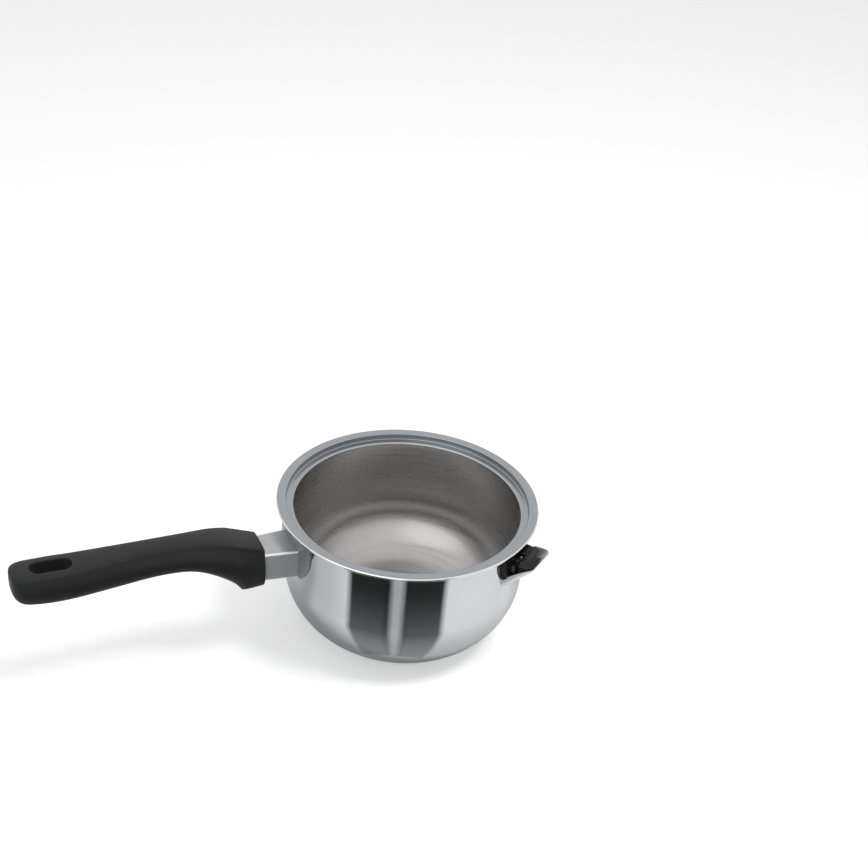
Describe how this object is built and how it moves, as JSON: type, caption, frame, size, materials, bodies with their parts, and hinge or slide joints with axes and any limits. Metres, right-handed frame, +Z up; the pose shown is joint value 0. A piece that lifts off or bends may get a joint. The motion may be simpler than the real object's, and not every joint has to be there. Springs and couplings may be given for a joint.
{
  "type": "double-walled saucepan",
  "caption": "Double-walled stainless steel saucepan with a rolled pouring rim, a filler chute with a hinged whistle flap, and a long moulded black grip with a hanging hole.",
  "frame": {"origin": "centre of the base's resting face, on the worktop", "axes": "+Z up along the pan's axis; the grip points along -X; the filler stands at -54 degrees from +X"},
  "size_m": [0.3408, 0.1708, 0.098],
  "materials": {
    "polished_steel": "mirror-polished stainless steel",
    "brushed_steel": "spun, concentrically brushed stainless steel",
    "guard_steel": "satin brushed stainless steel",
    "bracket_steel": "plain stainless steel",
    "aluminium_core": "plain, enclosed",
    "black_grip": "matte moulded thermoset plastic, black",
    "black_closure": "slightly glossy moulded plastic, black",
    "silicone": "matte silicone"
  },
  "bodies": {
    "pan": {"outer_shell": "polished_steel", "inner_shell": "brushed_steel", "base_core": "aluminium_core", "base_cap": "polished_steel", "handle_bracket": "bracket_steel", "flame_guard": "guard_steel", "handle_grip": "black_grip", "handle_screw": "bracket_steel", "lock_washer": "bracket_steel", "filler_chute": "polished_steel", "whistle_housing": "black_closure", "housing_gasket": "silicone", "hinge_pin": "bracket_steel"},
    "flap": {"whistle_flap": "black_closure", "flap_seal": "silicone", "whistle_rear_disc": "bracket_steel", "whistle_front_disc": "bracket_steel"}
  },
  "joints": [
    {"name": "flap_hinge", "type": "hinge", "parent": "pan", "child": "flap", "pos_m": [0.04996, -0.06877, 0.0885], "axis": [-0.809, -0.5878, 0], "range_deg": [0, 55]}
  ]
}
